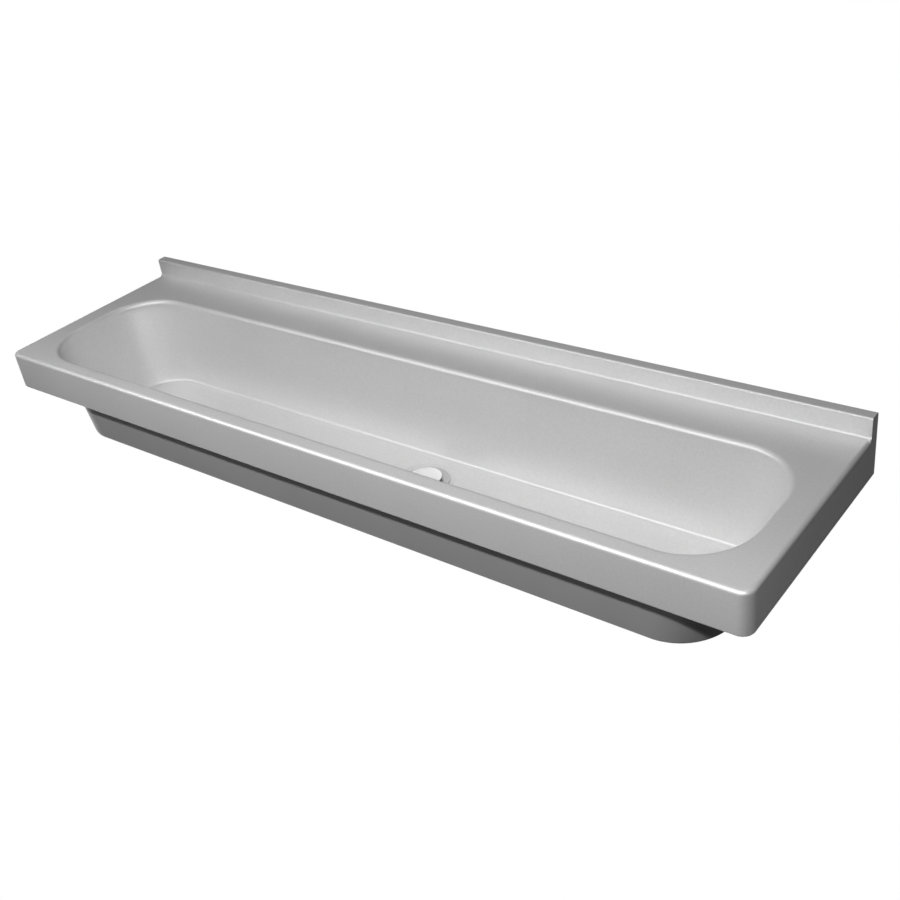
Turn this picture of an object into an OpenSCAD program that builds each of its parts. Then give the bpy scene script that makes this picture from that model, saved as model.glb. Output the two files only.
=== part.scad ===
// Wall-hung trough sink in stainless sheet. Millimetres, +Z up.
// X runs along the wall, Y = 0 is the wall and the front is at -Y.
// The origin is the centre of the four wall-fixing holes, on the wall.

/* [Overall] */
// Length along the wall
length = 1500; // [1100:10:2400]
// Depth from the wall to the front apron
depth = 400; // [380:5:500]
// Thickness of the stainless sheet
sheet = 1.5; // [1:0.1:2]

/* [Deck and aprons] */
// Height of the front and end aprons
apron_h = 70; // [62:1:100]
// Radius of the deck's front and end edges
edge_r = 6; // [4:0.5:8]
// Radius of the two front corners, seen from above
corner_r = 18; // [16:1:22]
// Radius of the fold along the apron's lower edge
return_r = 3; // [2.5:0.5:5]
// Width of the flange folded in along the apron's lower edge
return_w = 14; // [8:1:15]

/* [Upstand] */
// Height of the upstand above the deck
upstand_h = 34; // [20:1:60]
// Thickness of the upstand, front face to wall
upstand_t = 20; // [12:1:26]
// Radius of the upstand's top edges
upstand_r = 3; // [2.5:0.5:5]
// Inside radius of the fold between the deck and the upstand
fold_r = 4; // [2:0.5:6]

/* [Basin] */
// Deck width beside the opening at each end
open_end = 39; // [36:1:60]
// Deck width in front of the opening
open_front = 24; // [20:1:40]
// Distance from the wall to the opening
open_rear = 96; // [80:1:120]
// Corner radius of the opening
open_r = 105; // [60:1:120]
// Radius of the rolled lip round the opening
lip_r = 8; // [4:0.5:12]
// Depth of the basin below the deck
bowl_depth = 168; // [140:1:220]
// How far each end wall leans in towards the floor
end_draft = 32; // [10:1:60]
// How far the front wall leans in towards the floor
front_draft = 10; // [4:1:30]
// How far the rear wall leans in towards the floor
rear_draft = 19; // [4:1:40]
// Corner radius where the walls would meet the floor
floor_r = 84; // [40:1:100]
// Fillet between the walls and the floor
fillet_r = 7; // [5:1:16]

/* [Waste] */
// Distance of the waste to the right of the middle
waste_x = 68; // [-200:1:200]
// Distance of the waste from the wall
waste_y = 194; // [180:1:220]
// Depth of the recess pressed for the waste
recess_d = 3; // [2:0.5:6]
// Radius of the waste flange
flange_r = 42; // [38:0.5:46]
// Clearance round the flange in its recess
recess_gap = 2; // [1:0.5:4]
// Radius of the threaded tail
tail_r = 23.9; // [22:0.1:26]
// Wall thickness of the tail
tail_wall = 2.9; // [2:0.1:4]
// Length of the tail below the flange
tail_len = 60; // [50:1:90]
// Clearance of the bowl's hole round the tail
hole_gap = 1.1; // [0.5:0.1:2]
// Thickness of the rubber seal under the flange
seal_t = 1; // [0.5:0.1:2]
// Height of the flange's outer lip above its underside
flange_lip = 2.4; // [2.2:0.1:3.5]
// Radius of the cross-bar's boss, which carries the cartridge
boss_r = 8.5; // [7:0.5:11]
// Thickness of the rubber gasket under the bowl
gasket_t = 3; // [2:0.5:5]
// Radius of the gasket under the bowl
gasket_r = 38; // [34:0.5:42]
// Thickness of the slip washer above the back nut
slip_t = 1.5; // [1:0.1:3]
// Height of the back nut
back_nut_h = 10; // [8:0.5:14]
// Width across the flats of the back nut
back_nut_af = 60; // [56:1:70]

/* [Plug] */
// Radius of the domed plug
plug_r = 30; // [27:0.5:33]
// Thickness of the plug at its rim
plug_t = 1.6; // [1:0.1:3]
// Rise of the plug's dome
plug_rise = 3; // [1:0.5:6]
// Travel of the plug between open and closed
plug_travel = 5; // [3:0.5:7]
// Thickness of the plug's rubber ring
plug_seal_t = 1.5; // [1:0.1:2]
// Radius of the plug's stem
stem_r = 4; // [3:0.1:5]
// Radius of the disc that joins the stem to the plug
stem_disc_r = 20; // [14:1:22]
// Length of the stem, disc included
stem_len = 21; // [19:0.5:22]
// Outer radius of the push cartridge
cartridge_r = 8; // [7:0.1:10]

/* [Wall brackets] */
// Thickness of the bracket plate
bracket_t = 3; // [2:0.5:5]
// Reach of the bracket arm from the wall
bracket_reach = 330; // [320:5:350]
// Height of the bracket arm's tip
bracket_tip = 22; // [12:1:40]
// Length of the bracket arm's root, before it tapers
bracket_root = 36; // [20:1:80]
// Clearance between the bracket and the lip
bracket_gap = 2; // [1:0.5:4]
// Clearance between the bracket and the apron's return flange
return_gap = 4; // [2:0.5:8]
// Radius of the wall-fixing holes
wall_hole_r = 5.5; // [4:0.1:6.5]
// Distance from a wall hole to the end of the bracket's wall flange
hole_edge = 14; // [12:0.5:17]
// Radius of the welded studs
stud_r = 3; // [2.5:0.5:4]
// Length of the welded studs
stud_len = 16; // [14:1:25]
// Distance of the rear studs from the wall
stud_rear = 60; // [40:5:100]
// Distance of the front studs from the wall
stud_front = 300; // [200:5:310]

/* [Underside] */
// Height of the stiffening channel under the ledge
channel_h = 20; // [10:1:30]
// Width of each of the channel's spot-welded flanges
channel_flange = 12; // [8:1:14]
// Clearance between the channel and the bowl or the upstand fold
channel_gap = 6; // [4:1:12]
// Distance from the channel's end to the bracket
channel_end = 63; // [50:1:120]
// Length of one sound-deadening pad
pad_l = 220; // [100:5:300]
// Width of one sound-deadening pad
pad_w = 150; // [80:5:180]
// Thickness of the sound-deadening pads
pad_t = 2; // [1:0.5:4]
// Space between neighbouring pads
pad_space = 40; // [20:5:80]
// Width of the earth tag
tag_w = 25; // [18:1:30]
// Drop of the earth tag's leg
tag_h = 26; // [24:1:40]
// Length of the earth tag's welded foot
tag_foot = 20; // [12:1:30]
// Thickness of the earth tag
tag_t = 2; // [1:0.5:3]
// Distance of the earth tag's leg from the wall
tag_y = 50; // [35:1:60]

/* [Hidden] */

$fn = 96;
// How far a cut runs past what it cuts
cut = 1;
// Points along each quarter turn of the bowl's corners, and along its fillet
arc_n = 18;
fillet_n = 7;

satin = [0.66, 0.67, 0.68];
polished = [0.86, 0.87, 0.88];
zinc = [0.55, 0.57, 0.60];
rubber = [0.09, 0.09, 0.10];
bitumen = [0.20, 0.20, 0.21];
nylon = [0.90, 0.90, 0.87];

half_l = length / 2;

// The opening, the lip's lower edge and the floor, each as [x low, x high, y low, y high, radius]
opening = [-half_l + open_end, half_l - open_end, -depth + open_front, -open_rear, open_r];
lip_edge = grow(opening, -lip_r);
floor_edge = [lip_edge[0] + end_draft, lip_edge[1] - end_draft,
    lip_edge[2] + front_draft, lip_edge[3] - rear_draft, floor_r];

// Brackets: the plate lies between the lip and the flat part of the deck's end
bracket_in = half_l - open_end + bracket_gap;
bracket_out = half_l - edge_r;
bracket_h = apron_h - 2 * sheet - return_gap;
bracket_hole_x = (bracket_in + bracket_out - bracket_t) / 2;
wall_hole_z = bracket_h / 2 - hole_edge;
// Height of the deck above the wall-hole centre
deck_z = sheet + bracket_h / 2;

// Fasteners: one size of nut, washer and screw head, with clearances at their holes
washer_t = 1.6;
washer_r = 2.05 * stud_r;
washer_gap = 0.2;
nut_h = 5;
nut_af = 10;
screw_head_h = 4;
screw_tail = 12;
stud_gap = 0.5;
tag_gap = 0.3;
thread_gap = 0.05;

// Waste levels, measured from the deck
floor_z = -bowl_depth;
recess_z = floor_z - recess_d;
under_z = recess_z - sheet;
flange_z = recess_z + seal_t;
recess_r = flange_r + recess_gap;
tail_bore = tail_r - tail_wall;
seat_t = 1.2;
seat_z = flange_z + seat_t;
seat_r = plug_r + 2;
lip_w = 2.2;
lip_chamfer = 0.7;
foot_chamfer = 0.5;
throat_chamfer = 1.5;
// Clearance of the rings round the tail, and how far they stay inside what covers them
ring_gap = 0.2;
ring_inset = 1;
tail_end = flange_z - tail_len;
gasket_z = under_z - gasket_t;
slip_z = gasket_z - slip_t;
back_nut_z = slip_z - back_nut_h;
// A groove in the tail below the back nut, where the trap's thread begins
groove_z = back_nut_z - 2;
groove_h = 2;
groove_d = 0.9;

// Plug levels: the seal stops just clear of its seat when the plug is pressed home
seat_gap = 0.3;
plug_z = seat_z + seat_gap + plug_seal_t + plug_travel;
plug_dome_r = (plug_r * plug_r + plug_rise * plug_rise) / (2 * plug_rise);
stem_disc_t = 1.2;
stem_end = plug_z - stem_len;
cross_z = flange_z - 32;
cross_h = 5;
cross_w = 4;
cross_arms = 3;
cartridge_base = 3;
cartridge_stud_r = 5;
cartridge_floor = cross_z + cross_h + cartridge_base;
// The cartridge stays this far below the stem's disc when the plug is pressed home
disc_gap = 2;
cartridge_top = plug_z - stem_disc_t - plug_travel - disc_gap;
run_gap = 0.06;
spring_wire = 0.45;
spring_r = stem_r - 2 * spring_wire;
spring_turns = 6;
spring_steps = 16;
spring_sides = 8;

function grow(o, d) = [o[0] - d, o[1] + d, o[2] - d, o[3] + d, o[4] + d];

function quarter(cx, cy, r, from) =
    [for (k = [0:arc_n]) let (a = from + 90 * k / arc_n) [cx + r * cos(a), cy + r * sin(a)]];

function outline(o) = concat(
    quarter(o[1] - o[4], o[3] - o[4], o[4], 0),
    quarter(o[0] + o[4], o[3] - o[4], o[4], 90),
    quarter(o[0] + o[4], o[2] + o[4], o[4], 180),
    quarter(o[1] - o[4], o[2] + o[4], o[4], 270));

function at_height(points, z) = [for (p = points) [p[0], p[1], z]];

// The wall's outline at height z, between the lip's lower edge and the floor
function wall_outline(z) = lip_edge + (floor_edge - lip_edge) * (-z - lip_r) / (bowl_depth - lip_r);

// One ring of the bowl's skin in its floor fillet: a = 0 on the wall, 90 on the floor.
// out is 0 for the inside of the sheet and the sheet's thickness for the outside.
function fillet_ring(a, out) =
    let (r = fillet_r + out, z = floor_z + fillet_r - r * sin(a))
    at_height(outline(grow(wall_outline(z), out - r * (1 - cos(a)))), z);

function lip_ring(out) = at_height(outline(grow(lip_edge, out)), -lip_r);

// A skin over rings of the same number of points, closed at both ends
module skin(rings) {
    n = len(rings[0]);
    last = (len(rings) - 1) * n;
    points = [for (ring = rings) each ring];
    sides = [for (k = [0:len(rings) - 2], i = [0:n - 1])
        let (a = k * n + i, b = k * n + (i + 1) % n)
        each [[a, b, b + n], [a, b + n, a + n]]];
    first_cap = [for (i = [n - 1:-1:0]) i];
    last_cap = [for (i = [0:n - 1]) last + i];
    polyhedron(points, concat([first_cap], sides, [last_cap]), convexity = 6);
}

module rounded_rect(o) {
    r = o[4];
    translate([o[0] + r, o[2]]) square([o[1] - o[0] - 2 * r, o[3] - o[2]]);
    translate([o[0], o[2] + r]) square([o[1] - o[0], o[3] - o[2] - 2 * r]);
    for (x = [o[0] + r, o[1] - r], y = [o[2] + r, o[3] - r]) translate([x, y]) circle(r);
}

// A quarter of a bent sheet: outer radius r, centred on the origin, in the first quadrant
module bend(r) {
    intersection() {
        difference() {
            circle(r);
            circle(r - sheet);
        }
        square(r);
    }
}

// Section of the deck's edge: x = 0 is corner_r in from the outer face, y = 0 is the deck
module edge_section() {
    translate([0, -sheet]) square([corner_r - edge_r, sheet]);
    translate([corner_r - edge_r, -edge_r]) bend(edge_r);
    apron_section(edge_r);
}

// The apron from drop below the deck down to its folded-in flange
module apron_section(drop) {
    translate([corner_r - sheet, -apron_h + return_r]) square([sheet, apron_h - return_r - drop]);
    translate([corner_r - return_r, -apron_h + return_r]) mirror([0, 1]) bend(return_r);
    translate([corner_r - return_w, -apron_h]) square([return_w - return_r, sheet]);
}

// Section of the fold and the upstand: x is Y, y is Z
module upstand_section() {
    translate([-upstand_t - fold_r, fold_r]) mirror([0, 1]) bend(fold_r + sheet);
    translate([-upstand_t, fold_r]) square([sheet, upstand_h - fold_r - upstand_r]);
    translate([-upstand_t + upstand_r, upstand_h - upstand_r]) mirror([1, 0]) bend(upstand_r);
    translate([-upstand_t + upstand_r, upstand_h - sheet]) square([upstand_t - 2 * upstand_r, sheet]);
    translate([-upstand_r, upstand_h - upstand_r]) bend(upstand_r);
    translate([-sheet, -sheet]) square([sheet, upstand_h - upstand_r + sheet]);
}

// Side view of the upstand's closing plate
module cap_section() {
    difference() {
        union() {
            translate([-upstand_t - fold_r, 0]) square([upstand_t + fold_r, fold_r]);
            translate([-upstand_t, 0]) square([upstand_t, upstand_h - upstand_r]);
            translate([-upstand_t + upstand_r, 0]) square([upstand_t - 2 * upstand_r, upstand_h]);
            for (y = [-upstand_t + upstand_r, -upstand_r])
                translate([y, upstand_h - upstand_r]) circle(upstand_r);
        }
        translate([-upstand_t - fold_r, fold_r]) circle(fold_r);
    }
}

// Extrudes a section drawn in (Y, Z) along X, centred on the middle of the trough
module along_x(l) {
    translate([-l / 2, 0, 0]) rotate([90, 0, 90]) linear_extrude(l) children();
}

// Extrudes a section drawn in (outward, Z) along the right-hand end, from y_from to y_to
module along_end(y_from, y_to) {
    translate([half_l - corner_r, y_to, 0])
        rotate([90, 0, 0]) linear_extrude(y_to - y_from) children();
}

module both_ends() {
    children();
    mirror([1, 0, 0]) children();
}

// The quarter-round lip along one straight side of the opening, at l long
module lip_bar(l) {
    rotate([90, 0, 90]) linear_extrude(l) translate([0, -lip_r]) bend(lip_r);
}

module lip_corner() {
    rotate_extrude(angle = 90)
        translate([opening[4], -lip_r]) mirror([1, 0]) bend(lip_r);
}

module lip() {
    r = opening[4];
    long = opening[1] - opening[0] - 2 * r;
    short = opening[3] - opening[2] - 2 * r;
    translate([opening[0] + r, opening[2], 0]) lip_bar(long);
    translate([opening[1] - r, opening[3], 0]) rotate([0, 0, 180]) lip_bar(long);
    translate([opening[0], opening[3] - r, 0]) rotate([0, 0, -90]) lip_bar(short);
    translate([opening[1], opening[2] + r, 0]) rotate([0, 0, 90]) lip_bar(short);
    translate([opening[1] - r, opening[3] - r, 0]) lip_corner();
    translate([opening[0] + r, opening[3] - r, 0]) rotate([0, 0, 90]) lip_corner();
    translate([opening[0] + r, opening[2] + r, 0]) rotate([0, 0, 180]) lip_corner();
    translate([opening[1] - r, opening[2] + r, 0]) rotate([0, 0, 270]) lip_corner();
}

module deck_shell() color(satin) {
    rear = -upstand_t - fold_r;
    front = -depth + corner_r;
    translate([0, 0, -sheet]) linear_extrude(sheet) difference() {
        translate([-half_l + corner_r, front]) square([length - 2 * corner_r, rear - front]);
        rounded_rect(opening);
    }
    lip();
    translate([0, front, 0]) mirror([0, 1, 0]) along_x(length - 2 * corner_r) edge_section();
    both_ends() {
        along_end(front, rear) edge_section();
        along_end(rear, 0) apron_section(0);
        translate([half_l - corner_r, front, 0])
            rotate([0, 0, -90]) rotate_extrude(angle = 90) edge_section();
    }
    along_x(length - 2 * sheet) upstand_section();
}

module bowl() color(satin) difference() {
    union() {
        skin(concat(
            [for (k = [fillet_n:-1:0]) fillet_ring(90 * k / fillet_n, 0)],
            [lip_ring(0), lip_ring(sheet)],
            [for (k = [0:fillet_n]) fillet_ring(90 * k / fillet_n, sheet)]));
        at_waste(under_z) cylinder(h = recess_d + sheet / 2, r = recess_r + sheet);
    }
    at_waste(recess_z) cylinder(h = recess_d + cut, r = recess_r);
    at_waste(under_z - cut) cylinder(h = sheet + 2 * cut, r = tail_r + hole_gap);
}

module upstand_cap() {
    translate([half_l - sheet, 0, 0]) rotate([90, 0, 90]) linear_extrude(sheet) cap_section();
}

module upstand_cap_right() color(satin) upstand_cap();

module upstand_cap_left() color(satin) mirror([1, 0, 0]) upstand_cap();

// Hat section: two flanges welded to the ledge, two webs and a flat
module ledge_channel() color(satin) {
    y_low = -open_rear + channel_gap;
    y_high = -upstand_t - fold_r - channel_gap;
    web_low = y_low + channel_flange - sheet;
    web_high = y_high - channel_flange;
    along_x(2 * (bracket_in - channel_end)) translate([0, -sheet]) {
        translate([y_low, -sheet]) square([channel_flange, sheet]);
        translate([y_high - channel_flange, -sheet]) square([channel_flange, sheet]);
        for (y = [web_low, web_high]) translate([y, -channel_h]) square([sheet, channel_h]);
        translate([web_low, -channel_h]) square([web_high - web_low + sheet, sheet]);
    }
}

module bracket() {
    low = -sheet - bracket_h;
    difference() {
        union() {
            translate([bracket_in, -bracket_reach, -sheet - bracket_t])
                cube([bracket_out - bracket_in, bracket_reach, bracket_t]);
            translate([bracket_in, -bracket_t, low])
                cube([bracket_out - bracket_in, bracket_t, bracket_h]);
            translate([bracket_out - bracket_t, 0, 0]) rotate([90, 0, 90]) linear_extrude(bracket_t)
                polygon([[0, low], [0, -sheet], [-bracket_reach, -sheet],
                    [-bracket_reach, -sheet - bracket_tip], [-bracket_root, low]]);
        }
        for (s = [-1, 1]) translate([bracket_hole_x, cut, -deck_z + s * wall_hole_z])
            rotate([90, 0, 0]) cylinder(h = bracket_t + 2 * cut, r = wall_hole_r);
        for (y = [stud_rear, stud_front]) translate([bracket_hole_x, -y, -sheet - bracket_t - cut])
            cylinder(h = bracket_t + 2 * cut, r = stud_r + stud_gap);
    }
}

module bracket_right() color(zinc) bracket();

module bracket_left() color(zinc) mirror([1, 0, 0]) bracket();

module at_studs(z) {
    for (x = [-bracket_hole_x, bracket_hole_x], y = [stud_rear, stud_front])
        translate([x, -y, z]) children();
}

module washer(r_in, r_out, t) difference() {
    cylinder(h = t, r = r_out);
    translate([0, 0, -cut]) cylinder(h = t + 2 * cut, r = r_in);
}

module hex_nut(r_bore, af, h) difference() {
    cylinder(h = h, r = af / sqrt(3), $fn = 6);
    translate([0, 0, -cut]) cylinder(h = h + 2 * cut, r = r_bore);
}

module deck_studs() color(zinc)
    at_studs(-sheet - stud_len) cylinder(h = stud_len, r = stud_r);

module stud_washers() color(zinc)
    at_studs(-sheet - bracket_t - washer_t) washer(stud_r + washer_gap, washer_r, washer_t);

module stud_nuts() color(zinc)
    at_studs(-sheet - bracket_t - washer_t - nut_h) hex_nut(stud_r + thread_gap, nut_af, nut_h);

// Pads in a row from the waste towards each end of the floor, as many as fit
module sound_pads() color(bitumen) {
    floor_end = floor_edge[1] - fillet_r;
    first = recess_r + sheet + pad_space / 2;
    y_mid = (floor_edge[2] + floor_edge[3]) / 2;
    for (side = [-1, 1], x = [first + pad_l / 2:pad_l + pad_space:length])
        if (x + side * waste_x + pad_l / 2 < floor_end - floor_r / 3)
            translate([waste_x + side * x - pad_l / 2, y_mid - pad_w / 2, floor_z - sheet - pad_t])
                cube([pad_l, pad_w, pad_t]);
}

// Earth tag: a foot welded under the ledge and a leg with the screw's hole
tag_x = bracket_in - channel_end / 2;
tag_hole_z = -sheet - tag_t - tag_h / 2;

module earth_tag() color(satin) difference() {
    union() {
        translate([tag_x - tag_w / 2, -tag_y - tag_foot, -sheet - tag_t]) cube([tag_w, tag_foot, tag_t]);
        translate([tag_x - tag_w / 2, -tag_y - tag_t, -sheet - tag_h]) cube([tag_w, tag_t, tag_h]);
    }
    along_tag(cut) cylinder(h = tag_t + 2 * cut, r = stud_r + tag_gap);
}

// Puts children on the screw's axis, +Z to the front, starting y behind the leg's rear face
module along_tag(y) {
    translate([tag_x, -tag_y + y, tag_hole_z]) rotate([90, 0, 0]) children();
}

module earth_screw() color(zinc) {
    along_tag(-tag_t - washer_t) cylinder(h = screw_head_h, r = nut_af / sqrt(3), $fn = 6);
    along_tag(screw_tail) cylinder(h = screw_tail + tag_t + washer_t, r = stud_r);
}

module earth_washers() color(zinc) {
    along_tag(-tag_t) washer(stud_r + washer_gap, washer_r, washer_t);
    along_tag(washer_t) washer(stud_r + washer_gap, washer_r, washer_t);
}

module earth_nut() color(zinc)
    along_tag(washer_t + nut_h) hex_nut(stud_r + thread_gap, nut_af, nut_h);

module at_waste(z) {
    translate([waste_x, -waste_y, z]) children();
}

// Waste: dished flange, threaded tail and the cross that holds the cartridge
module waste_body() color(polished) at_waste(0) {
    lip_top = flange_z + flange_lip;
    rotate_extrude() polygon([
        [tail_bore, tail_end], [tail_r, tail_end],
        [tail_r, groove_z - groove_h], [tail_r - groove_d, groove_z - groove_h],
        [tail_r - groove_d, groove_z], [tail_r, groove_z],
        [tail_r, flange_z], [flange_r - foot_chamfer, flange_z],
        [flange_r, flange_z + foot_chamfer], [flange_r, lip_top - lip_chamfer],
        [flange_r - lip_chamfer, lip_top], [flange_r - lip_w, lip_top], [seat_r, seat_z],
        [tail_bore + throat_chamfer, seat_z], [tail_bore, seat_z - throat_chamfer]]);
    difference() {
        translate([0, 0, cross_z]) union() {
            cylinder(h = cross_h, r = boss_r);
            for (k = [0:cross_arms - 1]) rotate([0, 0, k * 360 / cross_arms])
                translate([0, -cross_w / 2, 0]) cube([tail_bore + tail_wall / 2, cross_w, cross_h]);
        }
        translate([0, 0, cross_z - cut])
            cylinder(h = cross_h + 2 * cut, r = cartridge_stud_r + thread_gap);
    }
}

module flange_seal() color(rubber)
    at_waste(recess_z) washer(tail_r + ring_gap, flange_r - ring_inset, seal_t);

module lower_gasket() color(rubber)
    at_waste(gasket_z) washer(tail_r + ring_gap, gasket_r, gasket_t);

module slip_washer() color(nylon)
    at_waste(slip_z) washer(tail_r + ring_gap, gasket_r - ring_inset, slip_t);

module back_nut() color(polished)
    at_waste(back_nut_z) hex_nut(tail_r + thread_gap, back_nut_af, back_nut_h);

module push_cartridge() color(polished) at_waste(0) difference() {
    union() {
        translate([0, 0, cross_z - cut]) cylinder(h = cross_h + 2 * cut, r = cartridge_stud_r);
        translate([0, 0, cross_z + cross_h])
            cylinder(h = cartridge_top - cross_z - cross_h, r = cartridge_r);
    }
    translate([0, 0, cartridge_floor])
        cylinder(h = cartridge_top - cartridge_floor + cut, r = stem_r + run_gap);
}

// A coil spring from the cartridge's floor to the stem's end
module cartridge_spring() color(zinc) at_waste(0) {
    low = cartridge_floor + spring_wire;
    high = stem_end - spring_wire;
    steps = spring_turns * spring_steps;
    skin([for (k = [0:steps])
        let (a = 360 * k / spring_steps, z = low + (high - low) * k / steps)
        [for (i = [0:spring_sides - 1])
            let (b = 360 * i / spring_sides, r = spring_r + spring_wire * cos(b))
            [r * cos(a), r * sin(a), z + spring_wire * sin(b)]]]);
}

module plug_stem() color(zinc) at_waste(0) {
    translate([0, 0, plug_z - stem_disc_t]) cylinder(h = stem_disc_t, r = stem_disc_r);
    translate([0, 0, stem_end]) cylinder(h = stem_len - stem_disc_t / 2, r = stem_r);
}

module plug_seal() color(rubber)
    at_waste(plug_z - plug_seal_t) washer(stem_disc_r + ring_gap, plug_r - ring_inset, plug_seal_t);

module plug_cap() color(polished) at_waste(plug_z) {
    cylinder(h = plug_t, r = plug_r);
    translate([0, 0, plug_t]) rotate_extrude() intersection() {
        translate([0, plug_rise - plug_dome_r]) circle(plug_dome_r, $fn = 360);
        square([plug_r, plug_rise]);
    }
}

// Lifts a sub-part drawn from the deck's level to its height above the wall holes
module on_deck() {
    translate([0, 0, deck_z]) children();
}

on_deck() deck_shell();
on_deck() bowl();
on_deck() upstand_cap_left();
on_deck() upstand_cap_right();
on_deck() ledge_channel();
on_deck() bracket_left();
on_deck() bracket_right();
on_deck() deck_studs();
on_deck() stud_washers();
on_deck() stud_nuts();
on_deck() sound_pads();
on_deck() earth_tag();
on_deck() earth_screw();
on_deck() earth_washers();
on_deck() earth_nut();
on_deck() waste_body();
on_deck() flange_seal();
on_deck() lower_gasket();
on_deck() slip_washer();
on_deck() back_nut();
on_deck() push_cartridge();
on_deck() cartridge_spring();
on_deck() plug_stem();
on_deck() plug_seal();
on_deck() plug_cap();
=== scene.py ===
"""Looks of a wall-hung stainless wash trough, built round its CAD frame. Metres, +Z up, wall at Y = 0."""
import math

import bmesh
import bpy
from mathutils import Matrix, Vector
from mathutils.geometry import tessellate_polygon


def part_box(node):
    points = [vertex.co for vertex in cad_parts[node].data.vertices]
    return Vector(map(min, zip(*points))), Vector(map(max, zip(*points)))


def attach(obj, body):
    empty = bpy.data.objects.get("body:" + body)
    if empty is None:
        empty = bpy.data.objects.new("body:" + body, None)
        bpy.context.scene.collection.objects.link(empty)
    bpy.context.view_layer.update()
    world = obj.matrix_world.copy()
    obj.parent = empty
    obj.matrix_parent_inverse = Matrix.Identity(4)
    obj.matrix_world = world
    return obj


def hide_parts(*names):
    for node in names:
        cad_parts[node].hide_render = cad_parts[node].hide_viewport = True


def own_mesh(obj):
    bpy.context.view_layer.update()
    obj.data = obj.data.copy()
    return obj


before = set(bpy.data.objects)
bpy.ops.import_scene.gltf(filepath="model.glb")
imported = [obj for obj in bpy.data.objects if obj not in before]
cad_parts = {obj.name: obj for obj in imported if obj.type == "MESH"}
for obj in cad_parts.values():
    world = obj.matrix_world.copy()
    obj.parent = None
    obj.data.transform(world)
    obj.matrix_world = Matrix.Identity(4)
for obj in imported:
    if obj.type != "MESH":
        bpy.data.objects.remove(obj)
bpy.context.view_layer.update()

MM = 0.001

# Boxes of the CAD nodes that sizes are read from
shell_low, shell_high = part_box("deck_shell")
bowl_low, bowl_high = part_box("bowl")
plug_low, plug_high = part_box("plug_cap")
waste_low, waste_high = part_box("waste_body")
stud_low, stud_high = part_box("deck_studs")
channel_low, channel_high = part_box("ledge_channel")
spring_low, spring_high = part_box("cartridge_spring")
bracket_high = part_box("bracket_right")[1]
nut_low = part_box("back_nut")[0]

# The pressed and folded sheet: its thickness, the deck's height, and where it ends
SHEET = 1.5 * MM
DECK = bracket_high.z + SHEET
END = shell_high.x
FRONT = shell_low.y
FOOT = shell_low.z
EDGE_R = 6 * MM
CORNER_R = 18 * MM
# The flange that the aprons fold in at their foot
RETURN_R = 3 * MM
RETURN_W = 14 * MM
# The upstand, and the fold that it rises from
UPSTAND_TOP = shell_high.z
UPSTAND_T = 20 * MM
UPSTAND_R = 3 * MM
FOLD_R = 4 * MM

# The basin: its rolled lip, its floor's corners, and how far each wall leans in
LIP_R = 8 * MM
LIP_CORNER_R = 97 * MM
FLOOR_CORNER_R = 84 * MM
END_DRAFT = 32 * MM
FRONT_DRAFT = 10 * MM
REAR_DRAFT = 19 * MM
FILLET_R = 4 * MM
# Below the lip the walls turn from upright to their lean over this depth
LEAN_IN = 16 * MM
# The shelf that the press leaves round the floor, and the height of its soft step
SHELF_W = 9 * MM
SHELF_H = 0.4 * MM
# The recess for the waste, the slope round it, and the hole in it
RECESS_R = 43 * MM
RECESS_D = 3 * MM
RECESS_SLOPE = 11 * MM
HOLE_R = 25 * MM
BASIN_FLOOR = bowl_low.z + SHEET + RECESS_D

# The waste's axis
WASTE = ((plug_low.x + plug_high.x) / 2, (plug_low.y + plug_high.y) / 2)

# Steps along one corner of an outline, one straight side, and one bend
CORNER_STEPS = 28
SIDE_STEPS = 14
BEND_STEPS = 8
# Width of the narrow strips that keep flat faces flat beside a bend
STRIP = 1 * MM


# ---------------------------------------------------------------- meshes

# Points that are the same to the micron are merged
MICRONS = 1e6
# An edge flatter than the first angle vanishes, one past the second is broken, one past the third drawn sharp
FLAT_EDGE = math.radians(0.5)
BROKEN_EDGE = math.radians(30)
SHARP_EDGE = math.radians(35)
# Outer radius of the wall brackets' folds
BRACKET_FOLD_R = 3 * MM
BRACKET_FOLD_STEPS = 5


class Sheet:
    """A sheet's visible face: points that coincide are one vertex, so its parts join up."""

    def __init__(self):
        self.points = []
        self.faces = []
        self.known = {}

    def vertex(self, point):
        key = tuple(round(c * MICRONS) for c in point)
        if key not in self.known:
            self.known[key] = len(self.points)
            self.points.append(tuple(point))
        return self.known[key]

    def face(self, points):
        corners = []
        for point in points:
            i = self.vertex(point)
            if i not in corners:
                corners.append(i)
        if len(corners) > 2:
            self.faces.append(corners)

    def rows(self, rows, closed=False):
        """Quads between neighbouring rows of points; a repeated point makes a triangle."""
        for low, high in zip(rows, rows[1:]):
            count = len(low)
            for i in range(count if closed else count - 1):
                j = (i + 1) % count
                self.face([low[i], low[j], high[j], high[i]])

    def fill(self, outer, inner):
        """A flat face between two loops."""
        points = outer + inner
        for triangle in tessellate_polygon([outer, inner]):
            self.face([points[i] for i in triangle])


def linked(name, mesh):
    piece = bpy.data.objects.new(name, mesh)
    bpy.context.scene.collection.objects.link(piece)
    return piece


def new_object(name, points, faces):
    mesh = bpy.data.meshes.new(name)
    mesh.from_pydata(points, [], faces)
    return linked(name, mesh)


def from_bmesh(name, bm):
    mesh = bpy.data.meshes.new(name)
    bm.to_mesh(mesh)
    bm.free()
    return linked(name, mesh)


def shade(piece):
    """Smooth over bends, sharp at cut edges, and flat faces kept flat."""
    piece.data.shade_smooth()
    piece.data.set_sharp_from_angle(angle=SHARP_EDGE)
    weighted = piece.modifiers.new("flat faces", "WEIGHTED_NORMAL")
    weighted.keep_sharp = True
    return piece


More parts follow.
